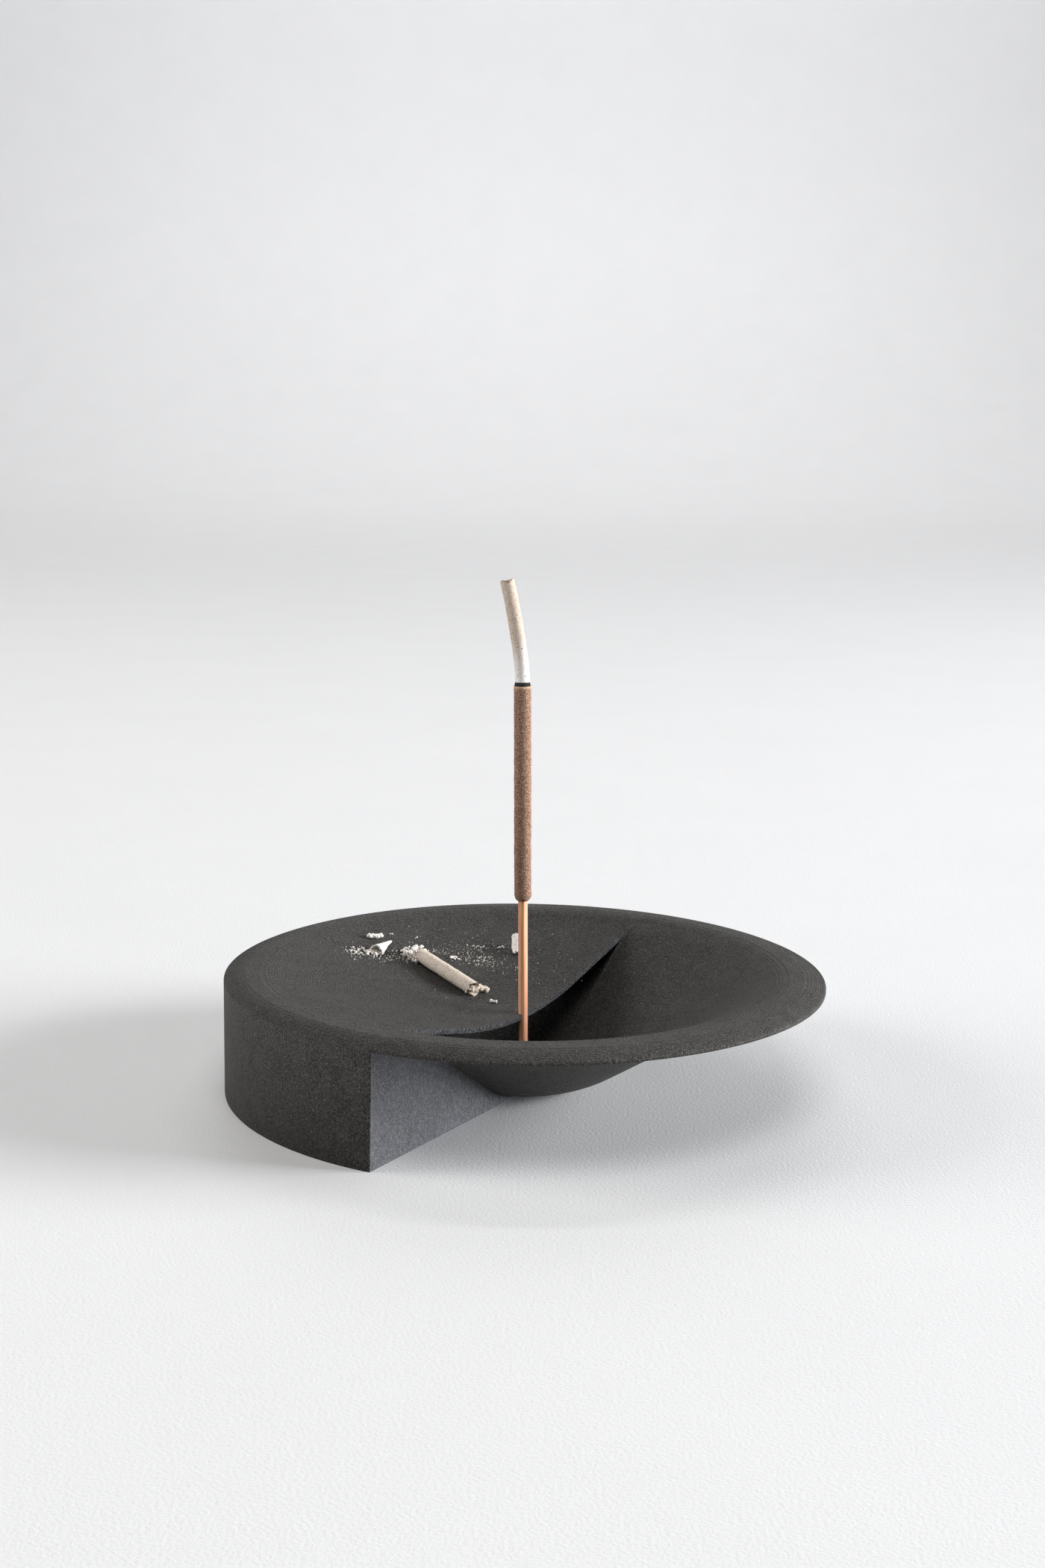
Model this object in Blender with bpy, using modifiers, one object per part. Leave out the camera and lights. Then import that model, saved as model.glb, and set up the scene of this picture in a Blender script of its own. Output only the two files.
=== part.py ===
"""Incense burner: a half-block carrying a thin round funnel and a shallow dish, with a part-burnt stick and its ash.

Run with: blender --background --python part.py
Units are metres, +Z is up. The origin is on the disc's axis, at the level of the table.
The dish is at the left and back (-X), the open funnel at the right and front (+X, -Y).
"""

import math
import random

import bmesh
import bpy
from mathutils import Matrix, Vector

MM = 0.001
DEG = math.pi / 180

# Driving dimensions of the printed body
OUTER_RADIUS = 55 * MM
CREST_RADIUS = 49.5 * MM  # the rim is highest on this circle
CREST_HEIGHT = 22 * MM
CREST_ARC = 14.6 * MM  # radius of the rim's inner shoulder, in section
EDGE_TOP = 20.8 * MM  # height of the rim's outer corner
EDGE_THICKNESS = 0.6 * MM
SHELL = 1.05 * MM  # thickness of the funnel's wall
NOSE_FLAT = 5.2 * MM  # radius of the flat under the funnel, which meets the table
NOSE_ARC = 24.6 * MM  # radius of the funnel's round bottom, in section

# Dish, over the left and back half
DISH_FLOOR = 13.05 * MM
DISH_ARC = 92 * MM
DISH_SLOPE = math.atan(0.228)
DISH_STRAIGHT_END = 38 * MM
LID_THICKNESS = 1.0 * MM
LAP = 0.08 * MM  # how far the dish's border sinks into the rim that it merges with

# Vertical planes that divide the two halves, by compass bearing from +Y towards +X
EDGE_BEARING = 29.1 * DEG
EDGE_OFFSET = 0.0
FACE_BEARING = 30.4 * DEG
FACE_OFFSET = 3.5 * MM

# Stick hole in the dish's edge and socket on the funnel's floor
HOLE_RADIUS = 1.15 * MM
SOCKET_RADIUS = 1.0 * MM
SOCKET_TOP = 5.0 * MM
SOCKET_TOP_RADIUS = 2.4 * MM
SOCKET_FOOT_RADIUS = 3.4 * MM

# Incense stick
STICK_LEAN = 0.86 * DEG  # towards -X
STICK_FOOT = SHELL + 0.3 * MM
CORE_RADIUS = 0.85 * MM
PASTE_RADIUS = 1.56 * MM
PASTE_BOTTOM = 34.5 * MM
PASTE_TOP = 73.6 * MM
CHAR_HEIGHT = 0.75 * MM
CHAR_RADIUS = 1.48 * MM
ASH_TOP = 93.2 * MM
ASH_BEND = 2.8 * MM  # sideways drift of the standing ash's top
ASH_RADIUS = 1.34 * MM
JOINT_GAP = 0.22 * MM  # between the stacked lengths of the stick

# Fallen ash
RESTING_GAP = 0.3 * MM
LOG_RADIUS = 1.36 * MM
LOG_ENDS = ((-20.3 * MM, 20.3 * MM), (-10.0 * MM, 8.5 * MM))
FINGER_ENDS = ((-8.4 * MM, 9.8 * MM), (-7.4 * MM, 10.6 * MM))
LUMP = ((-9.4 * MM, 7.5 * MM), 0.75 * MM)
CURL_AT = (-27.9 * MM, 22.3 * MM)
CHUNK_AT = (-29.8 * MM, 27.8 * MM)
SHARD_AT = (-1.3 * MM, 29.8 * MM)
FLAKE_AT = (-5.8 * MM, 5.4 * MM)
CRUMB_COUNT = 10
CRUMB_RADII = (0.45 * MM, 0.85 * MM)
CRUMB_PATCH = (-23.2 * MM, 22.9 * MM)  # middle of the rubble by the log's back end
CRUMB_SPREAD = 4.6 * MM

RING_STEPS = 72
FLAT_TOLERANCE = 0.04 * MM  # how far a facet may lie off its arc
FAR = 80 * MM  # half size of the dividing cutters
SMOOTH_ANGLE = 30 * DEG


def clear_scene():
    for thing in list(bpy.data.objects):
        bpy.data.objects.remove(thing)


def new_collection(name):
    group = bpy.data.collections.new(name)
    bpy.context.scene.collection.children.link(group)
    return group


def new_material(name, colour, roughness):
    material = bpy.data.materials.new(name)
    material.use_nodes = True
    shader = material.node_tree.nodes["Principled BSDF"]
    shader.inputs["Base Color"].default_value = (*colour, 1)
    shader.inputs["Roughness"].default_value = roughness
    shader.inputs["Metallic"].default_value = 0
    return material


# Sections, as lists of (radius, height)


def arc(centre, radius, start, end):
    """Points on an arc, angles in radians from +radius towards +height."""
    widest = 2 * math.acos(1 - FLAT_TOLERANCE / radius)
    steps = max(2, math.ceil(abs(end - start) / widest))
    turns = [start + (end - start) * i / steps for i in range(steps + 1)]
    return [(centre[0] + radius * math.cos(t), centre[1] + radius * math.sin(t)) for t in turns]


def crest_centre():
    return CREST_RADIUS, CREST_HEIGHT - CREST_ARC


def funnel_slope():
    """Angle of the funnel's conical wall, tangent to its round bottom and to the rim's shoulder."""
    bowl = Vector((NOSE_FLAT, NOSE_ARC))
    across = Vector(crest_centre()) - bowl
    reach = (NOSE_ARC + CREST_ARC - SHELL) / across.length
    return math.atan2(across.y, across.x) + math.asin(reach)


def funnel_line(above):
    """The funnel's section at a distance above its underside, from the flat out to the crest."""
    slope = funnel_slope()
    down, up = -math.pi / 2, math.pi / 2
    bowl = arc((NOSE_FLAT, NOSE_ARC), NOSE_ARC - above, down, down + slope)
    shoulder = arc(crest_centre(), CREST_ARC - SHELL + above, up + slope, up)
    return bowl + shoulder


def lip_line(height, drop):
    """The rim's section from the crest out to its edge, falling by drop."""
    width = OUTER_RADIUS - CREST_RADIUS
    radius = (width**2 + drop**2) / (2 * drop)
    turn = math.asin(width / radius)
    return arc((CREST_RADIUS, height - radius), radius, math.pi / 2, math.pi / 2 - turn)


def dish_line(sunk=0.0):
    """The dish's section from the axis out to where it meets the rim's shoulder, sunk below it by that much."""
    floor_arc = arc((0, DISH_FLOOR + DISH_ARC), DISH_ARC, -math.pi / 2, -math.pi / 2 + DISH_SLOPE)
    last = Vector(floor_arc[-1])
    run = DISH_STRAIGHT_END - last.x
    start = last + Vector((run, run * math.tan(DISH_SLOPE)))
    normal = Vector((-math.sin(DISH_SLOPE), math.cos(DISH_SLOPE)))
    centre, radius = Vector(crest_centre()), CREST_ARC - sunk
    gap = start - centre
    sweep = (gap.length_squared - radius**2) / (2 * (radius - gap.dot(normal)))
    sweep_centre = start + normal * sweep
    meeting = centre + (sweep_centre - centre).normalized() * radius
    end_turn = math.atan2(meeting.y - sweep_centre.y, meeting.x - sweep_centre.x)
    rise = arc(sweep_centre, sweep, -math.pi / 2 + DISH_SLOPE, end_turn)
    return floor_arc + rise


def dish_height(x, y):
    """Height of the dish above a point on the table."""
    radius = math.hypot(x, y)
    line = dish_line()
    for (r0, z0), (r1, z1) in zip(line, line[1:]):
        if r0 <= radius <= r1:
            return z0 + (z1 - z0) * (radius - r0) / (r1 - r0)
    return line[-1][1]


# Modelling helpers


def link(thing, group, material=None):
    group.objects.link(thing)
    if material:
        thing.data.materials.append(material)
    return thing


def mesh_object(name, bm, group, material=None):
    mesh = bpy.data.meshes.new(name)
    bm.to_mesh(mesh)
    bm.free()
    mesh.shade_smooth()
    mesh.set_sharp_from_angle(angle=SMOOTH_ANGLE)
    return link(bpy.data.objects.new(name, mesh), group, material)


def turned(name, outline, group, material=None, steps=RING_STEPS):
    """A closed solid turned about Z from an outline that runs down its outer side, top to bottom."""
    bm = bmesh.new()
    corners = [bm.verts.new((radius, 0, height)) for radius, height in outline]
    for a, b in zip(corners, corners[1:]):
        bm.edges.new((a, b))
    if outline[0][0] > 0 or outline[-1][0] > 0:
        bm.edges.new((corners[-1], corners[0]))
    thing = mesh_object(name, bm, group, material)
    screw = thing.modifiers.new("turn", "SCREW")
    screw.axis = "Z"
    screw.angle = 2 * math.pi
    screw.steps = steps
    screw.render_steps = steps
    screw.use_merge_vertices = True
    screw.merge_threshold = 1e-7
    screw.use_smooth_shade = True
    screw.use_normal_calculate = False
    return thing


def guide(thing):
    """Marks an object as a cutter or a solid that only feeds a Boolean."""
    thing.hide_render = True
    thing.display_type = "WIRE"
    return thing


def half_space(name, bearing, offset, group):
    """A block that fills the right and front side of a vertical plane."""
    bm = bmesh.new()
    bmesh.ops.create_cube(bm, size=2 * FAR)
    bmesh.ops.translate(bm, verts=bm.verts, vec=(FAR + offset, 0, 0))
    bmesh.ops.rotate(bm, verts=bm.verts, cent=(0, 0, 0), matrix=Matrix.Rotation(-bearing, 3, "Z"))
    return guide(mesh_object(name, bm, group))


def boolean(thing, operation, other):
    step = thing.modifiers.new(operation.lower() + "_" + other.name, "BOOLEAN")
    step.operation = operation
    step.solver = "EXACT"
    step.object = other


def tube(name, points, radii, sides, group, material):
    """A rod along points, with its own radius at each, and filled ends."""
    curve = bpy.data.curves.new(name, "CURVE")
    curve.dimensions = "3D"
    curve.bevel_depth = 1.0
    curve.bevel_resolution = sides // 4
    curve.use_fill_caps = True
    spline = curve.splines.new("POLY")
    spline.points.add(len(points) - 1)
    for knot, point, radius in zip(spline.points, points, radii):
        knot.co = (*point, 1)
        knot.radius = radius
    return link(bpy.data.objects.new(name, curve), group, material)


def lump(name, size, seed, group, material, detail=2):
    """A rough grain: a small sphere pushed in and out, stretched to size."""
    rng = random.Random(seed)
    bm = bmesh.new()
    bmesh.ops.create_icosphere(bm, subdivisions=detail, radius=0.5)
    for corner in bm.verts:
        corner.co *= 1 + 0.16 * (rng.random() - 0.5)
    bmesh.ops.scale(bm, verts=bm.verts, vec=size)
    return mesh_object(name, bm, group, material)


def curl(name, radius, length, sweep, thickness, taper, group, material):
    """A piece of burst skin: part of a tube's wall, narrower towards one end."""
    across, along = 8, 5
    bm = bmesh.new()
    rows = []
    for j in range(along + 1):
        share = j / along
        spread = sweep * (1 - taper * share)
        row = []
        for i in range(across + 1):
            turn = math.pi / 2 + spread * (i / across - 0.5)
            row.append(bm.verts.new((radius * math.cos(turn), (share - 0.5) * length, radius * math.sin(turn))))
        rows.append(row)
    for near, away in zip(rows, rows[1:]):
        for i in range(across):
            bm.faces.new((near[i], near[i + 1], away[i + 1], away[i]))
    thing = mesh_object(name, bm, group, material)
    wall = thing.modifiers.new("wall", "SOLIDIFY")
    wall.thickness = thickness
    wall.offset = 0
    return thing


# The object


def make_body(parts, cutters, material):
    """The printed body: funnel with its rim and socket, joined to the half-block and the dish."""
    edge_underside = EDGE_TOP - EDGE_THICKNESS
    top = list(reversed(funnel_line(SHELL)))
    socket = [
        (SOCKET_FOOT_RADIUS, SHELL),
        (SOCKET_TOP_RADIUS, SOCKET_TOP),
        (SOCKET_RADIUS, SOCKET_TOP),
        (SOCKET_RADIUS, SHELL),
        (0, SHELL),
    ]
    lip_top = lip_line(CREST_HEIGHT, CREST_HEIGHT - EDGE_TOP)
    lip_under = lip_line(CREST_HEIGHT - SHELL, CREST_HEIGHT - SHELL - edge_underside)
    underside = [(0, 0)] + funnel_line(0)
    inside = socket[::-1] + top[::-1]
    outline = inside + lip_top[1:] + lip_under[::-1] + underside[:-1][::-1]
    body = turned("burner_body", outline, parts, material)

    middle = [(0, SHELL / 2)] + funnel_line(SHELL / 2)
    inside_edge = (OUTER_RADIUS - EDGE_THICKNESS, EDGE_TOP - EDGE_THICKNESS / 3)
    wall = [(OUTER_RADIUS, edge_underside), (OUTER_RADIUS, 0), (0, 0)]
    block = guide(turned("half_block", middle + [inside_edge] + wall, cutters))
    boolean(block, "DIFFERENCE", half_space("front_of_face", FACE_BEARING, FACE_OFFSET, cutters))

    dish = [point for point in dish_line(LAP) if point[0] > HOLE_RADIUS]
    dish.insert(0, (HOLE_RADIUS, DISH_FLOOR))
    buried = (dish[-1][0] + LID_THICKNESS, dish[-1][1] - LID_THICKNESS / 4)
    below = [(radius, height - LID_THICKNESS) for radius, height in dish[:-1]]
    lid = guide(turned("dish_lid", dish + [buried] + below[::-1], cutters))
    boolean(lid, "DIFFERENCE", half_space("front_of_edge", EDGE_BEARING, EDGE_OFFSET, cutters))

    boolean(body, "UNION", block)
    boolean(body, "UNION", lid)
    return body


def make_stick(parts, wood, paste, char, ash):
    """The stick stands in its socket and leans a little: splint, unburnt paste, char and standing ash."""
    lean = bpy.data.objects.new("stick_lean", None)
    lean.location = (0, 0, STICK_FOOT)
    lean.rotation_euler = (0, -STICK_LEAN, 0)
    parts.objects.link(lean)
    up = PASTE_BOTTOM - STICK_FOOT
    top = PASTE_TOP - STICK_FOOT
    chamfer = 0.1 * MM
    core_top = top - 2 * JOINT_GAP
    core = [(0, core_top), (CORE_RADIUS - chamfer, core_top), (CORE_RADIUS, core_top - chamfer)]
    core += [(CORE_RADIUS, chamfer), (CORE_RADIUS - chamfer, 0), (0, 0)]
    bore = CORE_RADIUS + 0.15 * MM
    wall = PASTE_RADIUS - bore
    coat = [(bore, top), (PASTE_RADIUS, top)]
    coat += arc((PASTE_RADIUS - wall, up + 2 * wall), wall, 0, -math.pi / 2)
    char_bottom = top + JOINT_GAP
    char_top = char_bottom + CHAR_HEIGHT
    ring = [(0, char_top), (ASH_RADIUS, char_top), (CHAR_RADIUS, char_bottom), (0, char_bottom)]
    pieces = [
        turned("bamboo_core", core, parts, wood, 24),
        turned("incense_paste", coat, parts, paste, 32),
        turned("char_ring", ring, parts, char, 32),
    ]
    ash_bottom = char_top + JOINT_GAP
    ash_length = ASH_TOP - STICK_FOOT - ash_bottom
    knots = [i / 8 for i in range(9)]
    line = [(-ASH_BEND * t**1.45, 0, ash_bottom + ash_length * t) for t in knots]
    radii = [ASH_RADIUS * (1 - 0.06 * t) for t in knots]
    pieces.append(tube("standing_ash", line, radii, 12, parts, ash))
    for piece in pieces:
        piece.parent = lean


def on_dish(x, y, above):
    return Vector((x, y, dish_height(x, y) + above))


def lay_flat(thing, place, bearing, above):
    """Lays a piece on the dish, turned to a bearing and tipped with the dish's slope."""
    x, y = place
    step = 1 * MM
    outward = Vector((x, y, 0)).normalized()
    rise = dish_height(x + outward.x * step, y + outward.y * step) - dish_height(x, y)
    normal = Vector((-outward.x * rise, -outward.y * rise, step)).normalized()
    tip = Vector((0, 0, 1)).rotation_difference(normal).to_matrix().to_4x4()
    thing.matrix_world = Matrix.Translation(on_dish(x, y, above)) @ tip @ Matrix.Rotation(bearing, 4, "Z")
    return thing


def make_fallen_ash(parts, ash):
    """A fallen length of ash with its broken end, two shards, a chunk, a flake and loose crumbs."""
    above = LOG_RADIUS + RESTING_GAP
    start, end = (on_dish(x, y, above) for x, y in LOG_ENDS)
    line = [start.lerp(end, i / 6) for i in range(7)]
    tube("fallen_ash_log", line, [LOG_RADIUS] * 7, 12, parts, ash)
    finger_radius = 0.42 * MM
    tips = [on_dish(x, y, finger_radius + RESTING_GAP) for x, y in FINGER_ENDS]
    tube("ash_log_finger", tips, [finger_radius, 0.8 * finger_radius], 8, parts, ash)
    (x, y), radius = LUMP
    broken = lump("ash_log_lump", (2 * radius, 1.8 * radius, 1.5 * radius), 3, parts, ash)
    lay_flat(broken, (x, y), 0, radius + RESTING_GAP)
    skin = 0.35 * MM
    first = curl("ash_curl", 1.5 * MM, 4.2 * MM, 170 * DEG, skin, 0.45, parts, ash)
    lay_flat(first, CURL_AT, -30 * DEG, RESTING_GAP + 0.5 * MM)
    second = curl("ash_shard", 1.15 * MM, 4.8 * MM, 120 * DEG, skin, 0.1, parts, ash)
    lay_flat(second, SHARD_AT, 4 * DEG, RESTING_GAP - 0.2 * MM)
    chunk = lump("ash_chunk", (3.0 * MM, 1.2 * MM, 1.0 * MM), 5, parts, ash)
    lay_flat(chunk, CHUNK_AT, 30 * DEG, 0.5 * MM + RESTING_GAP)
    flake = lump("ash_flake", (1.6 * MM, 0.9 * MM, 0.5 * MM), 6, parts, ash)
    lay_flat(flake, FLAKE_AT, -12 * DEG, 0.3 * MM + RESTING_GAP)


def make_crumbs(parts, ash):
    """Loose crumbs by the log's back end, each clear of the ones before it."""
    rng = random.Random(11)
    placed = []
    log_start = Vector(LOG_ENDS[0])
    log_end = Vector(LOG_ENDS[1])
    while len(placed) < CRUMB_COUNT:
        radius = rng.uniform(*CRUMB_RADII)
        turn, reach = rng.uniform(0, 2 * math.pi), CRUMB_SPREAD * math.sqrt(rng.random())
        spot = Vector(CRUMB_PATCH) + reach * Vector((math.cos(turn), 0.6 * math.sin(turn)))
        along = (log_end - log_start).normalized()
        share = (spot - log_start).dot(along)
        near_log = share > -LOG_RADIUS and abs((spot - log_start).cross(along)) < LOG_RADIUS + radius + RESTING_GAP
        crowded = any((spot - other).length < radius + size + RESTING_GAP for other, size in placed)
        near_curl = (spot - Vector(CURL_AT)).length < radius + 3 * MM
        if near_log or crowded or near_curl:
            continue
        placed.append((spot, radius))
        size = (2 * radius, 1.7 * radius, 1.5 * radius)
        crumb = lump(f"ash_crumb_{len(placed):02d}", size, 20 + len(placed), parts, ash, 1)
        lay_flat(crumb, spot, turn, radius + RESTING_GAP)


def main():
    clear_scene()
    parts = new_collection("incense_burner")
    cutters = new_collection("cutters")
    body = new_material("black_nylon", (0.035, 0.034, 0.033), 0.85)
    wood = new_material("bamboo", (0.62, 0.33, 0.14), 0.6)
    paste = new_material("incense_paste", (0.26, 0.15, 0.11), 0.9)
    char = new_material("char", (0.015, 0.014, 0.014), 0.95)
    ash = new_material("ash", (0.72, 0.66, 0.6), 0.95)
    make_body(parts, cutters, body)
    make_stick(parts, wood, paste, char, ash)
    make_fallen_ash(parts, ash)
    make_crumbs(parts, ash)


main()
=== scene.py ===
"""Looks of the incense burner: sintered body with layer rings, part-burnt stick, ash and dust.

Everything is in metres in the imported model's frame: +Z up, the origin on the disc's axis at table level,
the dish at the left and back (-X), the open funnel at the right and front (+X, -Y).
"""

import math
import random

import bmesh
import bpy
from mathutils import Matrix, Vector, noise


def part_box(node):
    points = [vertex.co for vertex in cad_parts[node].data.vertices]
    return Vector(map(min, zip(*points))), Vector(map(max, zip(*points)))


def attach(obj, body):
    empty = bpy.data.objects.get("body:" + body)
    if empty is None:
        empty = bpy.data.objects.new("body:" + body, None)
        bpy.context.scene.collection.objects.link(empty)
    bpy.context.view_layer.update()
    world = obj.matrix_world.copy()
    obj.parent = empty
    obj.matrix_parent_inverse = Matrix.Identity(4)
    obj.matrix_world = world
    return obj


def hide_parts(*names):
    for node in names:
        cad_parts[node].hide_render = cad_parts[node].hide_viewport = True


MM = 0.001
DEG = math.pi / 180

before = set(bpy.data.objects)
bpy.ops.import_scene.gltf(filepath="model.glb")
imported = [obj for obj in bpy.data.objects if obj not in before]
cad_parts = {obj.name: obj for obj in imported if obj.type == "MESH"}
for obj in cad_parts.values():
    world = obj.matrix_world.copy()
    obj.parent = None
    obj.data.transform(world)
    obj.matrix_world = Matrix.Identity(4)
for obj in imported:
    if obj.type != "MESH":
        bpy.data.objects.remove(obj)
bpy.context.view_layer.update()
body_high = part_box("burner_body")[1]

# Section of the printed body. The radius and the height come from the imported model.
OUTER_RADIUS = body_high.x
CREST_HEIGHT = body_high.z
CREST_RADIUS = OUTER_RADIUS - 5.5 * MM
CREST_ARC = 14.6 * MM
EDGE_TOP = CREST_HEIGHT - 1.2 * MM
EDGE_THICKNESS = 0.6 * MM
EDGE_ROUND = 0.22 * MM
SHELL = 1.05 * MM
NOSE_FLAT = 5.2 * MM
NOSE_ARC = 24.6 * MM
DISH_FLOOR = 13.05 * MM
DISH_ARC = 92 * MM
DISH_SLOPE = math.atan(0.228)
DISH_STRAIGHT_END = 38 * MM
LID_THICKNESS = 1.0 * MM
HOLE_RADIUS = 1.15 * MM
SOCKET_RADIUS = 1.0 * MM
SOCKET_TOP = 5.0 * MM
SOCKET_TOP_RADIUS = 2.4 * MM
SOCKET_FOOT_RADIUS = 3.4 * MM
EDGE_BEARING = 29.1 * DEG  # compass bearing of the dish's edge, from +Y towards +X
FACE_BEARING = 30.4 * DEG
FACE_OFFSET = 3.5 * MM

# Print detail
LAYER = 0.12 * MM
RING_MAX_SLOPE = 0.46  # steeper walls show no rings
TREAD_SHARE = 0.65  # part of a ring that lies nearly flat
TREAD_FALL = 0.12  # how much of the surface's own slope a tread keeps
HALF_TURN_STEPS = 180
SHORTEST_TREAD = 0.02 * MM
CORNER_CHAMFER = 0.22 * MM
CUT_ROUGHNESS = 0.09 * MM  # of the dish's cut edge
FINE = 0.004 * MM  # how far a facet may lie off its arc
ROUND_FINE = 0.01 * MM  # the same on the rim's small round


# Sections, as lists of points (radius, height)


def arc(centre, radius, start, end, tolerance=FINE):
    """Points from one turn to another, close enough that no facet lies further off than the tolerance."""
    widest = 2 * math.acos(1 - tolerance / radius)
    steps = max(2, math.ceil(abs(end - start) / widest))
    turns = [start + (end - start) * i / steps for i in range(steps + 1)]
    return [Vector((centre[0] + radius * math.cos(t), centre[1] + radius * math.sin(t))) for t in turns]


def crest_centre():
    """The middle of the round that the rim's inner shoulder follows."""
    return Vector((CREST_RADIUS, CREST_HEIGHT - CREST_ARC))


def funnel_slope():
    """The slope of the straight stretch between the nose's round and the shoulder, which touches both."""
    bowl = Vector((NOSE_FLAT, NOSE_ARC))
    across = crest_centre() - bowl
    reach = (NOSE_ARC + CREST_ARC - SHELL) / across.length
    return math.atan2(across.y, across.x) + math.asin(reach)


def funnel_line(above):
    """The funnel's section at a distance above its underside, from the flat out to the crest."""
    slope = funnel_slope()
    down, up = -math.pi / 2, math.pi / 2
    bowl = arc((NOSE_FLAT, NOSE_ARC), NOSE_ARC - above, down, down + slope)
    shoulder = arc(crest_centre(), CREST_ARC - SHELL + above, up + slope, up)
    return bowl + shoulder


def lip_line(height, drop):
    """The rim's outer slope: level at the crest's radius, and lower by drop at the outer radius."""
    width = OUTER_RADIUS - CREST_RADIUS
    radius = (width**2 + drop**2) / (2 * drop)
    turn = math.asin(width / radius)
    return arc((CREST_RADIUS, height - radius), radius, math.pi / 2, math.pi / 2 - turn)


def dish_line():
    """The dish's section from the axis out to where it meets the rim's shoulder."""
    floor_arc = arc((0, DISH_FLOOR + DISH_ARC), DISH_ARC, -math.pi / 2, -math.pi / 2 + DISH_SLOPE)
    last = floor_arc[-1]
    run = DISH_STRAIGHT_END - last.x
    start = last + Vector((run, run * math.tan(DISH_SLOPE)))
    normal = Vector((-math.sin(DISH_SLOPE), math.cos(DISH_SLOPE)))
    centre = crest_centre()
    gap = start - centre
    sweep = (gap.length_squared - CREST_ARC**2) / (2 * (CREST_ARC - gap.dot(normal)))
    sweep_centre = start + normal * sweep
    meeting = centre + (sweep_centre - centre).normalized() * CREST_ARC
    end_turn = math.atan2(meeting.y - sweep_centre.y, meeting.x - sweep_centre.x)
    return floor_arc + arc(sweep_centre, sweep, -math.pi / 2 + DISH_SLOPE, end_turn)


def height_at(line, radius):
    """The height of a section that runs outwards, at a radius."""
    for a, b in zip(line, line[1:]):
        if a.x <= radius <= b.x:
            return a.y + (b.y - a.y) * (radius - a.x) / max(b.x - a.x, 1e-9)
    return line[-1].y if radius > line[-1].x else line[0].y


def cut_at(line, radius, keep_inside):
    """The part of a section that runs outwards which is inside, or outside, a radius."""
    edge = Vector((radius, height_at(line, radius)))
    if keep_inside:
        return [p for p in line if p.x < radius - 1e-8] + [edge]
    return [edge] + [p for p in line if p.x > radius + 1e-8]


def with_rings(line):
    """The section with the print's layers: nearly flat treads and short risers wherever it is shallow."""
    rings = [line[0]]
    for a, b in zip(line, line[1:]):
        run, rise = b.x - a.x, b.y - a.y
        if abs(rise) > abs(run) * RING_MAX_SLOPE:
            rings.append(b)
            continue
        low, high = sorted((a.y, b.y))
        first = math.ceil(low / LAYER + 1e-6)
        levels = [k * LAYER for k in range(first, math.floor(high / LAYER) + 1)]
        if rise < 0:
            levels.reverse()
        for level in levels:
            spot = a.x + run * (level - a.y) / rise
            if spot - rings[-1].x > SHORTEST_TREAD:
                rings.append(Vector((spot, level)))
    if (rings[-1] - line[-1]).length > SHORTEST_TREAD:
        rings.append(line[-1])
    else:
        rings[-1] = line[-1]
    stepped = [rings[0]]
    for a, b in zip(rings, rings[1:]):
        if abs(b.y - a.y) < 1.05 * LAYER and abs(b.y - a.y) < RING_MAX_SLOPE * (b.x - a.x):
            fall = TREAD_SHARE * TREAD_FALL
            stepped.append(Vector((a.x + (b.x - a.x) * TREAD_SHARE, a.y + (b.y - a.y) * fall)))
        stepped.append(b)
    return stepped


# Mesh helpers


EDGE_ALONG = Vector((math.sin(EDGE_BEARING), math.cos(EDGE_BEARING), 0))
EDGE_FRONT = Vector((math.cos(EDGE_BEARING), -math.sin(EDGE_BEARING), 0))
FACE_ALONG = Vector((math.sin(FACE_BEARING), math.cos(FACE_BEARING), 0))
FACE_FRONT = Vector((math.cos(FACE_BEARING), -math.sin(FACE_BEARING), 0))
WELD = 1e-6

# Material slots: the printed body's second and third, which hold its nylon with painted light on the dish's
# cut edge and on the block's flat faces, and the fallen log's second
EDGE_PAINTED_LIGHT_SLOT = 1
FACE_PAINTED_LIGHT_SLOT = 2
WHITE_ASH_SLOT = 1


def new_piece(name, bm, *materials):
    mesh = bpy.data.meshes.new(name)
    bm.to_mesh(mesh)
    bm.free()
    for material in materials:
        mesh.materials.append(material)
    thing = bpy.data.objects.new(name, mesh)
    bpy.context.scene.collection.objects.link(thing)
    return thing


def new_face(bm, corners, smooth=True, slot=0):
    """A face from its corners, without those that fall together."""
    different = [c for n, c in enumerate(corners) if c not in corners[:n]]
    if len(different) > 2:
        face = bm.faces.new(different)
        face.smooth = smooth
        face.material_index = slot


def turned_point(point, turn):
    """A section's point at a turn, counted clockwise from the far end of the dish's edge."""
    flat = EDGE_ALONG * math.cos(turn) + EDGE_FRONT * math.sin(turn)
    return flat * point.x + Vector((0, 0, point.y))


def sweep(bm, line, turns, smooth=True):
    """A surface turned about the axis from a section."""
    rows = []
    for turn in turns:
        row = []
        for n, point in enumerate(line):
            on_axis = point.x < WELD and rows
            row.append(rows[0][n] if on_axis else bm.verts.new(turned_point(point, turn)))
        rows.append(row)
    for one, two in zip(rows, rows[1:]):
        for i in range(len(line) - 1):
            new_face(bm, [one[i], one[i + 1], two[i + 1], two[i]], smooth)


def zipper(bm, upper, lower, key, slot):
    """Triangles between two chains of corners, both in order of key."""
    i = j = 0
    while i < len(upper) - 1 or j < len(lower) - 1:
        use_upper = j == len(lower) - 1 or (i < len(upper) - 1 and key(upper[i + 1]) <= key(lower[j + 1]))
        tip = upper[i + 1] if use_upper else lower[j + 1]
        new_face(bm, [upper[i], tip, lower[j]], False, slot)
        i, j = (i + 1, j) if use_upper else (i, j + 1)


def lid_junction(funnel, below):
    """Where the underside of the dish's lid meets the funnel."""
    near, away = DISH_STRAIGHT_END, below[-1].x
    for _ in range(50):  # halvings
        middle = (near + away) / 2
        open_there = height_at(below, middle) > height_at(funnel, middle)
        near, away = (middle, away) if open_there else (near, middle)
    return near


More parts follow.
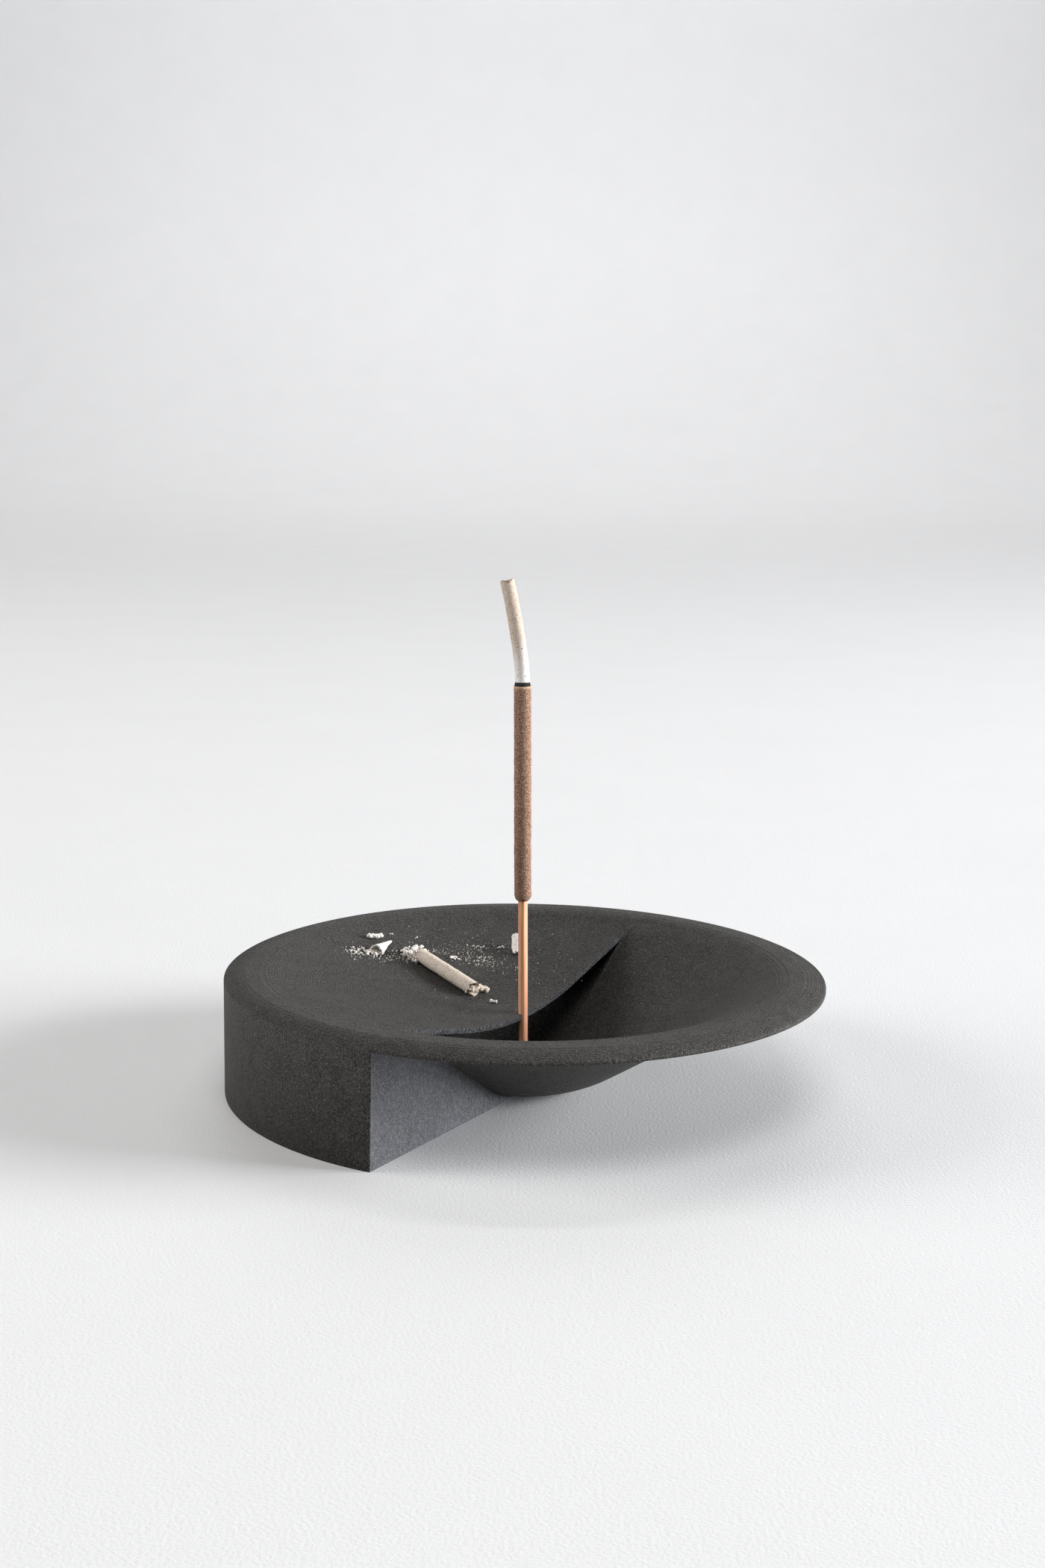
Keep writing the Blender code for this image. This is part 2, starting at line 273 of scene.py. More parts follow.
def add_dish_edge(bm, dish_top, low_line, turn, rng):
    """The rough planar band under the dish's cut edge, at one end of the half turn."""

    def reach(corner):
        return corner.co.xy.length

    upper = [bm.verts.new(turned_point(p, turn)) for p in dish_top]
    lower = [bm.verts.new(turned_point(p, turn)) for p in low_line]
    middle = []
    for p in dish_top[1:-1]:
        depth = p.y - min(p.y, height_at(low_line, p.x))
        roughness = min(CUT_ROUGHNESS, depth / 4)
        spot = turned_point(Vector((p.x, p.y - depth * rng.uniform(0.35, 0.65))), turn)
        middle.append(bm.verts.new(spot + EDGE_FRONT * roughness * rng.uniform(-1, 1)))
    middle = [upper[0]] + middle + [upper[-1]]
    # The cut edge gets the nylon with painted highlight and painted shade.
    zipper(bm, upper, middle, reach, EDGE_PAINTED_LIGHT_SLOT)
    zipper(bm, middle, lower, reach, EDGE_PAINTED_LIGHT_SLOT)


def add_block(bm, under, turns, corner_turns, rim_foot):
    """The underside with the half-block: its round wall, its bottom and two flat faces beside the nose."""
    lower = bmesh.new()
    sweep(lower, under, turns)
    bmesh.ops.remove_doubles(lower, verts=lower.verts, dist=WELD)
    everything = lower.verts[:] + lower.edges[:] + lower.faces[:]
    centre = FACE_FRONT * FACE_OFFSET
    bmesh.ops.bisect_plane(
        lower, geom=everything, dist=WELD, plane_co=centre, plane_no=FACE_FRONT, clear_inner=True
    )
    cut = [v.co.copy() for v in lower.verts if abs((v.co - centre).dot(FACE_FRONT)) < WELD]
    cut.sort(key=lambda co: co.dot(FACE_ALONG))
    mesh = bpy.data.meshes.new("underside")
    lower.to_mesh(mesh)
    lower.free()
    bm.from_mesh(mesh)
    bpy.data.meshes.remove(mesh)

    far_turn, near_turn = corner_turns
    block_turns = [near_turn] + [t for t in turns if t > near_turn + WELD]
    block_turns += [t + 2 * math.pi for t in turns if 0 < t < far_turn - WELD] + [far_turn + 2 * math.pi]
    foot = Vector((OUTER_RADIUS, 0))
    sweep(bm, [rim_foot, under[0], foot], block_turns)
    sweep(bm, [rim_foot, under[0]], [t for t in turns if far_turn - WELD < t < near_turn + WELD])

    flat = [co for co in cut if co.z < WELD]
    for side in (-1, 1):
        chain = [co for co in cut if co.dot(FACE_ALONG) * side > 0 and co.z >= WELD]
        chain.sort(key=lambda co: -abs(co.dot(FACE_ALONG)))
        start = max(flat, key=lambda co: co.dot(FACE_ALONG) * side)
        corner = Vector((*chain[0].xy, 0))
        # The flat faces get the lighter nylon with painted reflection.
        new_face(bm, [bm.verts.new(co) for co in [corner] + chain + [start]], False, FACE_PAINTED_LIGHT_SLOT)
    arc_corners = [turned_point(foot, turn) for turn in block_turns]
    new_face(bm, [bm.verts.new(co) for co in arc_corners + flat[::-1]], False)


def chamfer_corners(bm):
    """Break the block's two upright corners, which the print rounds a little."""

    def on_corner(corner):
        gap = (corner.co - FACE_FRONT * FACE_OFFSET).dot(FACE_FRONT)
        return abs(gap) < WELD and abs(corner.co.xy.length - OUTER_RADIUS) < WELD

    upright = [e for e in bm.edges if all(on_corner(v) for v in e.verts)]
    bmesh.ops.bevel(bm, geom=upright, offset=CORNER_CHAMFER, segments=2, profile=0.5, affect="EDGES")


def print_body():
    """The whole printed body as one closed mesh."""
    rng = random.Random(4)
    dish = dish_line()
    funnel = funnel_line(SHELL)
    below = [Vector((p.x, p.y - LID_THICKNESS)) for p in dish]
    meeting = dish[-1].x
    junction = lid_junction(funnel, below)
    outer = OUTER_RADIUS - EDGE_ROUND

    lip = lip_line(CREST_HEIGHT, CREST_HEIGHT - EDGE_TOP)
    top = cut_at(cut_at(funnel, meeting, False) + lip[1:], outer, True)
    corner = arc((outer, height_at(lip, outer) - EDGE_ROUND), EDGE_ROUND, math.pi / 2, 0, ROUND_FINE)
    edge_underside = EDGE_TOP - EDGE_THICKNESS
    lip_under = lip_line(CREST_HEIGHT - SHELL, CREST_HEIGHT - SHELL - edge_underside)
    under = lip_under[::-1] + funnel_line(0)[-2::-1] + [Vector((0, 0))]

    socket = [(0, SHELL), (SOCKET_RADIUS, SHELL), (SOCKET_RADIUS, SOCKET_TOP)]
    socket += [(SOCKET_TOP_RADIUS, SOCKET_TOP), (SOCKET_FOOT_RADIUS, SHELL)]
    inner = [Vector(p) for p in socket] + cut_at(funnel, junction, True)
    outer_funnel = cut_at(cut_at(funnel, junction, False), meeting, True)
    dish_top = with_rings(cut_at(dish, HOLE_RADIUS, False))
    lid_under = cut_at(cut_at(below, HOLE_RADIUS, False), junction, True)
    lid_under[-1] = inner[-1]
    outer_funnel[0] = inner[-1]
    rim = with_rings(top)
    rim[0] = outer_funnel[-1] = dish_top[-1]

    front_middle = math.pi / 2 + FACE_BEARING - EDGE_BEARING
    spread = math.acos(FACE_OFFSET / OUTER_RADIUS)
    corner_turns = (front_middle - spread, front_middle + spread)
    step = math.pi / HALF_TURN_STEPS
    spaced = [step * i for i in range(HALF_TURN_STEPS + 1)]
    spaced = [t for t in spaced if min(abs(t - corner_turn) for corner_turn in corner_turns) > step / 2]
    front = sorted(spaced + list(corner_turns))
    back = [math.pi + step * i for i in range(HALF_TURN_STEPS + 1)]

    bm = bmesh.new()
    sweep(bm, rim, front + back[1:], False)
    sweep(bm, rim[-1:] + corner[1:], front + back[1:])
    sweep(bm, inner, front + back[1:])
    sweep(bm, outer_funnel, front)
    sweep(bm, dish_top, back, False)
    sweep(bm, lid_under, back)
    sweep(bm, [dish_top[0], lid_under[0]], back)
    for turn in (0, math.pi):
        add_dish_edge(bm, dish_top, lid_under + outer_funnel[1:], turn, rng)
    add_block(bm, under, front + back[1:], corner_turns, corner[-1])
    bmesh.ops.remove_doubles(bm, verts=bm.verts, dist=WELD)
    bmesh.ops.recalc_face_normals(bm, faces=bm.faces)
    chamfer_corners(bm)
    return bm


# The stick and the ash


STICK_LEAN = 0.86 * DEG  # towards -X
STICK_SHIFT = -0.1 * MM  # along X
STICK_FOOT = SHELL + 0.3 * MM
CORE_RADIUS = 0.85 * MM
PASTE_RADIUS = 1.56 * MM
PASTE_BOTTOM = 34.4 * MM
PASTE_TOP = 73.95 * MM
CHAR_TOP = 74.65 * MM
ASH_TOP = 93.1 * MM
ASH_BEND = 2.8 * MM
STICK_ACROSS = (1, 0, math.tan(STICK_LEAN))
stick_frame = Matrix.Translation((STICK_SHIFT, 0, STICK_FOOT)) @ Matrix.Rotation(-STICK_LEAN, 4, "Y")

# Facets: sides round a piece, and steps along it
CORE_SIDES = 56
CORE_STEPS = 60
PASTE_SIDES = 64
PASTE_STEPS = 149
CHAR_STEPS = 8
ASH_SIDES = 72
ASH_STEPS = 90
LOG_SIDES = 64
LOG_STEPS = 60


def on_stick(turn, radius, height, drift=0.0):
    """A point beside the stick's axis, at a height above the table."""
    across = Vector((radius * math.cos(turn) + drift, radius * math.sin(turn), height - STICK_FOOT))
    return stick_frame @ across


def join_rings(bm, rings):
    """An open tube over rings of points with the same number of corners. Returns its corners."""
    made = [[bm.verts.new(co) for co in ring] for ring in rings]
    count = len(rings[0])
    for one, two in zip(made, made[1:]):
        for i in range(count):
            j = (i + 1) % count
            new_face(bm, [one[i], one[j], two[j], two[i]])
    return made


def loft(bm, rings):
    """A tube over rings of points, with its two ends closed by fans."""
    made = join_rings(bm, rings)
    count = len(rings[0])
    for ring, order in ((made[0], -1), (made[-1], 1)):
        middle = bm.verts.new(sum((c.co for c in ring), Vector()) / count)
        for i in range(count):
            new_face(bm, [ring[i], ring[(i + 1) % count], middle][::order])


def turns_of(count):
    """Evenly spaced turns all the way round."""
    return [2 * math.pi * i / count for i in range(count)]


def grain(point, size, depth):
    """A random push between -depth and depth, which changes over about size."""
    return noise.noise(point / size) * depth


def bamboo_rod():
    """The splint: a rod with five faint flats and shallow upright fibres. Its top hides in the paste."""
    bm = bmesh.new()
    top = PASTE_TOP - 0.4 * MM
    rings = []
    for k in range(CORE_STEPS + 1):
        height = STICK_FOOT + (top - STICK_FOOT) * k / CORE_STEPS
        ring = []
        for turn in turns_of(CORE_SIDES):
            fibre = noise.noise(Vector((3.2 * math.cos(turn), 3.2 * math.sin(turn), height / (25 * MM))))
            facet = 0.03 * math.cos(5 * turn + 0.6)
            ring.append(on_stick(turn, CORE_RADIUS * (1.01 + 0.05 * fibre + facet), height))
        rings.append(ring)
    loft(bm, rings)
    return bm


def paste_coat():
    """The unburnt paste: a rough tube with a rounded, uneven lower end."""
    bm = bmesh.new()
    bore = CORE_RADIUS + 0.1 * MM
    sides = turns_of(PASTE_SIDES)
    rings = [[on_stick(turn, bore, PASTE_TOP) for turn in sides]]
    rings.append([on_stick(turn, bore, PASTE_BOTTOM + 0.5 * MM) for turn in sides])
    for k in range(PASTE_STEPS + 1):
        share = (k / PASTE_STEPS) ** 1.15  # closer together at the rounded end
        height = PASTE_BOTTOM + (PASTE_TOP - PASTE_BOTTOM) * share
        ring = []
        for turn in sides:
            spot = on_stick(turn, PASTE_RADIUS, height)
            sag = 0.35 * MM * noise.noise(Vector((1.3 * math.cos(turn), 1.3 * math.sin(turn), 4.0)))
            rounding = (1.25 + 0.3 * math.cos(turn - 2.8)) * MM
            rise = min(1.0, max(0.0, (height - PASTE_BOTTOM - sag) / rounding))
            radius = bore + (PASTE_RADIUS - bore) * math.sqrt(1 - (1 - rise) ** 2)
            bulge = 0.14 * MM * math.exp(-(((height - PASTE_BOTTOM) / MM - 0.9) ** 2) / 0.5)
            radius += bulge * max(0.0, math.cos(turn + 0.2)) * rise
            radius += (grain(spot, 0.45 * MM, 0.035 * MM) + grain(spot, 1.7 * MM, 0.05 * MM)) * rise
            ring.append(on_stick(turn, radius, height - 0.25 * sag * (1 - rise)))
        rings.append(ring)
    rings.append(rings[0])
    join_rings(bm, rings)
    bmesh.ops.remove_doubles(bm, verts=bm.verts, dist=1e-8)
    bmesh.ops.recalc_face_normals(bm, faces=bm.faces)
    return bm


def char_collar():
    """The burning end: a black collar that narrows from the paste to the ash."""
    bm = bmesh.new()
    rings = []
    for k in range(CHAR_STEPS + 1):
        share = k / CHAR_STEPS
        height = PASTE_TOP + (CHAR_TOP - PASTE_TOP) * share
        ring = []
        for turn in turns_of(PASTE_SIDES):
            radius = (1.5 - 0.16 * share) * MM
            spot = on_stick(turn, radius, height)
            ring.append(on_stick(turn, radius + grain(spot, 0.3 * MM, 0.03 * MM), height))
        rings.append(ring)
    loft(bm, rings)
    return bm


def standing_ash():
    """The ash that still stands: it bends to the left, and its broken top is hollow."""
    bm = bmesh.new()
    sides = turns_of(ASH_SIDES)

    def ash_point(turn, radius, share):
        spot = on_stick(turn, radius, CHAR_TOP + (ASH_TOP - CHAR_TOP) * share)
        radius += grain(spot, 0.35 * MM, 0.022 * MM) + grain(spot, 1.6 * MM, 0.035 * MM)
        height = CHAR_TOP + (ASH_TOP - CHAR_TOP) * share
        height += radius * math.cos(turn) * 0.22 * share  # the top tips over with the bend
        return on_stick(turn, radius, height, -ASH_BEND * max(share, 0) ** 1.45)

    def broken_rim(turn):
        ragged = noise.noise(Vector((2.1 * math.cos(turn), 2.1 * math.sin(turn), 7.3)))
        notch = math.exp(-(((turn - 4.85) / 0.3) ** 2))
        return 0.992 + 0.014 * ragged - 0.03 * notch

    rings = []
    for k in range(ASH_STEPS + 1):
        share = k / ASH_STEPS
        radius = (1.33 - 0.08 * share) * MM
        rings.append([ash_point(turn, radius, share * broken_rim(turn)) for turn in sides])
    for depth, radius in ((0.004, 1.12), (0.02, 0.98), (0.05, 0.86), (0.085, 0.7)):  # into the hollow
        rings.append([ash_point(turn, radius * MM, broken_rim(turn) - depth) for turn in sides])
    loft(bm, rings)
    return bm


# Ash on the dish. Places are (x, y).
LOG_RADIUS = 1.36 * MM
LOG_BACK = Vector((-20.4 * MM, 20.3 * MM))
LOG_FRONT = Vector((-9.6 * MM, 8.2 * MM))
FINGER_TIP = Vector((-7.5 * MM, 10.8 * MM))
CURL_START = Vector((-29.0 * MM, 20.1 * MM))
CURL_END = Vector((-26.5 * MM, 25.1 * MM))
CURL_RADIUS = 1.3 * MM
SHARD_START = Vector((-1.35 * MM, 27.6 * MM))
SHARD_END = Vector((-1.5 * MM, 32.3 * MM))
SHARD_RADIUS = 1.25 * MM
SKIN_THICKNESS = 0.3 * MM
CHUNK_LEFT = Vector((-30.9 * MM, 26.9 * MM))
CHUNK_RIGHT = Vector((-28.6 * MM, 28.2 * MM))
FLAKE_PLACE = (-5.8 * MM, 5.5 * MM)

# Patches of loose crumbs, in mm: x, y, spread in x, spread in y, count, smallest, largest
RUBBLE = (
    (-22.6, 22.6, 0.75, 0.95, 62, 0.3, 0.9),
    (-24.6, 21.2, 1.3, 0.8, 18, 0.15, 0.4),
    (-31.3, 20.2, 1.1, 1.0, 36, 0.2, 0.55),
    (-13.8, 24.3, 0.45, 0.4, 9, 0.3, 0.7),
    (-21.6, 31.0, 0.2, 0.2, 3, 0.25, 0.4),
    (-26.7, 30.9, 0.3, 0.2, 3, 0.25, 0.4),
    (-4.6, 30.5, 0.6, 0.25, 7, 0.25, 0.5),
    (-33.7, 19.4, 0.5, 0.5, 6, 0.25, 0.45),
)
DUST = (
    (-32.3, 19.1, 1.6, 1.6, 110, 0.12, 0.34),
    (-28.3, 18.9, 2.0, 1.0, 70, 0.12, 0.34),
    (-24.2, 20.3, 1.8, 1.1, 64, 0.12, 0.32),
    (-9.4, 25.4, 1.9, 2.2, 76, 0.1, 0.3),
    (-7.6, 23.3, 1.8, 1.6, 64, 0.1, 0.3),
    (-8.5, 30.2, 1.7, 0.3, 34, 0.12, 0.36),
    (-16.9, 25.7, 1.6, 0.4, 30, 0.1, 0.28),
    (-12.0, 27.5, 4.5, 3.0, 110, 0.1, 0.26),
    (-3.0, 21.5, 1.2, 1.4, 14, 0.12, 0.28),
    (2.5, 26.2, 3.0, 5.0, 24, 0.1, 0.2),
    (-14.0, 23.1, 14.0, 9.0, 120, 0.09, 0.2),
)
VERY_ROUGH = 0.9  # how far crumbs are pushed in and out, as a share of their radius
dish_section = dish_line()


def dish_height(x, y):
    return height_at(dish_section, math.hypot(x, y))


def lump(bm, centre, size, rng, detail=1, slot=0, depth=0.55):
    """A rough crumb: a small ball pushed in and out by depth, and squeezed and turned at random."""
    made = bmesh.ops.create_icosphere(bm, subdivisions=detail, radius=size / 2)["verts"]
    turn = Matrix.Rotation(rng.uniform(0, 6.28), 3, (rng.uniform(-1, 1), rng.uniform(-1, 1), 0.3))
    squeeze = Vector((rng.uniform(0.8, 1.25), rng.uniform(0.65, 1), rng.uniform(0.6, 0.9)))
    shift = Vector((rng.uniform(0, 50), rng.uniform(0, 50), 0))
    for corner in made:
        push = 1 + depth * noise.noise(corner.co / size * 2.2 + shift)
        corner.co = turn @ (corner.co * push * squeeze) + centre
    for face in {f for corner in made for f in corner.link_faces}:
        face.smooth = detail > 1
        face.material_index = slot


def on_dish(x, y, above=0.0):
    return Vector((x, y, dish_height(x, y) + above))


def lying_along(start, end):
    """The directions along, beside and above a piece that lies from start to end."""
    along = (end - start).normalized()
    side = along.cross(Vector((0, 0, 1))).normalized()
    return along, side, side.cross(along)


def fallen_log():
    """The fallen length of ash: a hollow broken tube with crumbs at both ends and a finger in front."""
    bm = bmesh.new()
    rng = random.Random(9)
    back = on_dish(*LOG_BACK, LOG_RADIUS * 1.02)
    front = on_dish(*LOG_FRONT, LOG_RADIUS * 1.02)
    along, side, above = lying_along(back, front)
    length = (front - back).length

    def log_point(turn, radius, reach):
        out = side * math.cos(turn) + above * math.sin(turn)
        spot = back + along * reach + out * radius
        radius += grain(spot, 0.4 * MM, 0.03 * MM) + grain(spot, 2.2 * MM, 0.05 * MM)
        return back + along * reach + out * radius

    def ragged(turn, phase, size):
        spot = Vector((1.6 * math.cos(turn), 1.6 * math.sin(turn), phase))
        return size * (noise.noise(spot) + 0.45 * noise.noise(spot * 3.1))

    def back_end(turn):
        return ragged(turn, 2.0, 0.8 * MM)

    def front_end(turn):
        return length + ragged(turn, 5.5, 0.9 * MM)

    sides = turns_of(LOG_SIDES)
    rings = []
    for depth, radius in ((1.3, 0.5), (0.9, 0.85), (0.3, 1.08), (0.05, 1.23)):  # out of the hollow
        rings.append([log_point(t, radius * MM, back_end(t) + depth * MM) for t in sides])
    for k in range(LOG_STEPS + 1):
        share = k / LOG_STEPS
        ring = []
        for t in sides:
            start, stop = back_end(t), front_end(t)
            ring.append(log_point(t, LOG_RADIUS, start + (stop - start) * share))
        rings.append(ring)
    for depth, radius in ((0.05, 1.2), (0.4, 1.05), (1.2, 0.9), (1.9, 0.45)):  # into the other hollow
        rings.append([log_point(t, radius * MM, front_end(t) - depth * MM) for t in sides])
    loft(bm, rings)

    for _ in range(34):  # crumbs that hang in the front end
        spot = front + along * rng.uniform(-0.7, 0.6) * MM
        spot += (side * rng.gauss(0.1, 0.45) + above * rng.gauss(-0.3, 0.4)) * MM
        lump(bm, spot, rng.uniform(0.3, 0.75) * MM, rng, 2, 0, VERY_ROUGH)
    root = front + side * -0.75 * MM + above * 0.05 * MM - along * 0.6 * MM
    tip = on_dish(*FINGER_TIP, 0.5 * MM)
    for k in range(15):  # the finger, thickest in its middle and with a knob at its tip
        share = k / 14
        size = (1.0 + 0.3 * math.sin(share * 2.6) + (0.25 if k > 12 else 0)) * MM
        jitter = Vector([rng.uniform(-0.09, 0.09) * MM for _ in range(3)])
        lump(bm, root.lerp(tip, share) + jitter, size, rng, 2, 0, 0.8)
    for _ in range(85):  # rubble that sticks to the back end
        spot = back + along * rng.uniform(-2.2, 0.6) * MM
        spot += side * rng.gauss(0, 0.8) * MM
        height = spot.z + rng.uniform(-1.0, 1.1) * MM
        lowest = dish_height(spot.x, spot.y) + 0.2 * MM
        size = rng.uniform(0.3, 0.85) * MM
        lump(bm, Vector((spot.x, spot.y, max(lowest, height))), size, rng, 2, WHITE_ASH_SLOT, VERY_ROUGH)
    bmesh.ops.recalc_face_normals(bm, faces=bm.faces)
    return bm


def skin_patch(bm, surface, columns, rows):
    """A closed thin skin over surface(u, v), which gives a point and its outward direction."""
    sheets = []
    for side in (0.5, -0.5):
        sheet = []
        for i in range(columns + 1):
            row = []
            for j in range(rows + 1):
                point, out = surface(i / columns, j / rows)
                row.append(bm.verts.new(point + out * SKIN_THICKNESS * side))
            sheet.append(row)
        sheets.append(sheet)
    outer, inner = sheets
    for i in range(columns):
        for j in range(rows):
            new_face(bm, [outer[i][j], outer[i + 1][j], outer[i + 1][j + 1], outer[i][j + 1]])
            new_face(bm, [inner[i][j], inner[i][j + 1], inner[i + 1][j + 1], inner[i + 1][j]])
    for i in range(columns):
        for j in (0, rows):
            new_face(bm, [outer[i][j], outer[i + 1][j], inner[i + 1][j], inner[i][j]], False)
    for j in range(rows):
        for i in (0, columns):
            new_face(bm, [outer[i][j], outer[i][j + 1], inner[i][j + 1], inner[i][j]], False)
    bmesh.ops.recalc_face_normals(bm, faces=bm.faces)


def curled_skin(start, end, radius, taper, first_sweep, last_sweep, lean, seed):
    """A piece of the ash's burst wall that lies from start to end. Taper is how much it narrows."""
    bm = bmesh.new()
    along, side, above = lying_along(start, end)
    length = (end - start).length

    def surface(u, v):
        sweep_here = first_sweep + (last_sweep - first_sweep) * v**0.8
        sweep_here *= 1 + 0.22 * noise.noise(Vector((4.5 * v, seed, 8.2))) * (2 * u - 1)
        turn = math.pi / 2 + lean + sweep_here * (u - 0.5)
        out = side * math.cos(turn) + above * math.sin(turn)
        edge = noise.noise(Vector((3 * u, seed, 1.7))) + 0.5 * noise.noise(Vector((9 * u, seed, 4.1)))
        reach = length * (v + 0.07 * edge * (1 - 2 * v))
        spot = start + along * reach + out * radius * (1 - taper * v)
        return spot + out * grain(spot, 0.9 * MM, 0.08 * MM), out

    skin_patch(bm, surface, 28, 24)
    return bm


def ash_curl():
    """A skin that is rolled up at its near end and opens into a point, with crumbs at its mouth."""
    start = on_dish(*CURL_START, 0.35 * MM)
    end = on_dish(*CURL_END, 0.3 * MM)
    bm = curled_skin(start, end, CURL_RADIUS, 0.45, 205 * DEG, 36 * DEG, -8 * DEG, 2.0)
    rng = random.Random(12)
    for _ in range(34):  # crumbs in and before its open end
        spot = start.xy + Vector((rng.gauss(-0.25, 0.9), rng.gauss(-0.1, 0.6))) * MM
        lump(bm, on_dish(*spot, 0.2 * MM), rng.uniform(0.3, 0.8) * MM, rng, 2, 0, VERY_ROUGH)
    return bm


def ash_shard():
    """A third of the ash's wall, which leans up at its far end."""
    start = on_dish(*SHARD_START, -0.2 * MM)
    end = on_dish(*SHARD_END, 1.2 * MM)
    return curled_skin(start, end, SHARD_RADIUS, 0.0, 120 * DEG, 135 * DEG, 0, 5.0)


def ash_chunk():
    """A lumpy bar that gets thinner to the right and turns up at its end."""
    bm = bmesh.new()
    rng = random.Random(21)
    for k in range(15):
        spot = CHUNK_LEFT.lerp(CHUNK_RIGHT, k / 14)
        size = (1.25 - 0.4 * (k / 14)) * MM
        lift = size * 0.42 + (0.25 * MM if k > 12 else 0)
        lump(bm, on_dish(*spot, lift), size * rng.uniform(0.85, 1.1), rng, 2)
    return bm


def ash_flake():
    """Four lumps in a row that have grown together."""
    bm = bmesh.new()
    rng = random.Random(5)
    x, y = FLAKE_PLACE
    for dx, dy in ((-0.45, 0.1), (-0.15, 0), (0.15, -0.05), (0.45, -0.1)):
        lump(bm, on_dish(x + dx * MM, y + dy * MM, 0.24 * MM), 0.72 * MM, rng, 2)
    return bm


def scattered(patches, seed, detail):
    """Crumbs strewn on the dish. Most of them are small."""
    bm = bmesh.new()
    rng = random.Random(seed)
    for x, y, wide, deep, count, smallest, largest in patches:
        for _ in range(count):
            spot = Vector((rng.gauss(x, wide), rng.gauss(y, deep))) * MM
            size = (smallest + (largest - smallest) * rng.random() ** 2.2) * MM
            lump(bm, on_dish(*spot, size * 0.25), size, rng, detail, 0, VERY_ROUGH)
    return bm


def rubble():
    return scattered(RUBBLE, 31, 2)


def dust():
    return scattered(DUST, 47, 1)


# Materials


UP = (0, 0, 1)


class Nodes:
    """Short names for building a material's node tree."""

    def __init__(self, name):
        self.material = bpy.data.materials.new(name)
        self.material.use_nodes = True
        self.tree = self.material.node_tree
        self.shader = self.tree.nodes["Principled BSDF"]
        self.place = self.tree.nodes.new("ShaderNodeTexCoord").outputs["Object"]

    def link(self, output, socket):
        self.tree.links.new(output, socket)

    def stretched(self, sizes):
        """The place divided by a size in metres along each axis."""
        node = self.tree.nodes.new("ShaderNodeMapping")
        node.inputs["Scale"].default_value = [1 / size for size in sizes]
        self.link(self.place, node.inputs["Vector"])
        return node.outputs["Vector"]

    def noise(self, size, detail=2.0, roughness=0.5):
        """Noise whose lumps are about size across, or a size for each axis."""
        node = self.tree.nodes.new("ShaderNodeTexNoise")
        node.inputs["Scale"].default_value = 1
        node.inputs["Detail"].default_value = detail
        node.inputs["Roughness"].default_value = roughness
        sizes = size if isinstance(size, tuple) else (size, size, size)
        self.link(self.stretched(sizes), node.inputs["Vector"])
        return node.outputs["Fac"]

    def ramp(self, value, *stops):
        """A value turned into colours or greys at its stops, and blended between them."""
        node = self.tree.nodes.new("ShaderNodeValToRGB")
        ramp = node.color_ramp
        while len(ramp.elements) < len(stops):
            ramp.elements.new(0.5)
        for element, (position, colour) in zip(ramp.elements, stops):
            element.position = position
            element.color = (*colour, 1) if isinstance(colour, tuple) else (colour, colour, colour, 1)
        self.link(value, node.inputs["Fac"])
        return node.outputs["Color"]

    def mix(self, share, one, two, blend="MIX"):
        node = self.tree.nodes.new("ShaderNodeMix")
        node.data_type = "RGBA"
        node.blend_type = blend
        for value, socket in ((share, node.inputs["Factor"]), (one, node.inputs[6]), (two, node.inputs[7])):
            if isinstance(value, (int, float)):
                socket.default_value = value
            elif isinstance(value, tuple):
                socket.default_value = (*value, 1)
            else:
                self.link(value, socket)
        return node.outputs[2]

    def across(self, direction, start, end):
        """Rises from 0 to 1 as the place goes from start to end in a direction."""
        dot = self.tree.nodes.new("ShaderNodeVectorMath")
        dot.operation = "DOT_PRODUCT"
        dot.inputs[1].default_value = direction
        self.link(self.place, dot.inputs[0])
        node = self.tree.nodes.new("ShaderNodeMapRange")
        node.inputs["From Min"].default_value = start
        node.inputs["From Max"].default_value = end
        self.link(dot.outputs["Value"], node.inputs["Value"])
        return node.outputs["Result"]

    def bump(self, height, distance, below=None):
        """A relief of a depth in metres, on top of another one if there is one below."""
        node = self.tree.nodes.new("ShaderNodeBump")
        node.inputs["Strength"].default_value = 1
        node.inputs["Distance"].default_value = distance
        self.link(height, node.inputs["Height"])
        if below:
            self.link(below, node.inputs["Normal"])
        return node.outputs["Normal"]

    def finish(self, colour, normal, roughness, specular):
        self.link(colour, self.shader.inputs["Base Color"])
        self.link(normal, self.shader.inputs["Normal"])
        if isinstance(roughness, float):
            self.shader.inputs["Roughness"].default_value = roughness
        else:
            self.link(roughness, self.shader.inputs["Roughness"])
        self.shader.inputs["Specular IOR Level"].default_value = specular
        return self.material


def nylon(name, dark, light, mottling, grain_depth):
    """Sintered nylon, dyed black: powder grain, mottling, faint clouds and a few pale grains. Its copies
    for the cut edge and the flat faces carry painted light and shade.
    """
    n = Nodes(name)
    powder = n.noise(0.26 * MM, 3, 0.7)
    coarse = n.noise(mottling, 2, 0.6)
    clouds = n.noise(3.5 * MM, 3, 0.6)
    colour = n.ramp(powder, (0.43, dark), (0.57, light))
    colour = n.mix(n.ramp(coarse, (0.42, 0.0), (0.6, 0.5)), colour, dark)
    colour = n.mix(n.ramp(clouds, (0.35, 0.0), (0.7, 0.25)), colour, light)
    grains = n.ramp(n.noise(0.19 * MM, 1, 0.5), (0.67, 0.0), (0.73, 1.0))
    colour = n.mix(grains, colour, (0.24, 0.235, 0.225))
    normal = n.bump(powder, grain_depth, n.bump(coarse, 1.6 * grain_depth))
    rough = n.ramp(powder, (0.35, 0.5), (0.65, 0.7))
    return n.finish(colour, normal, rough, 0.12)


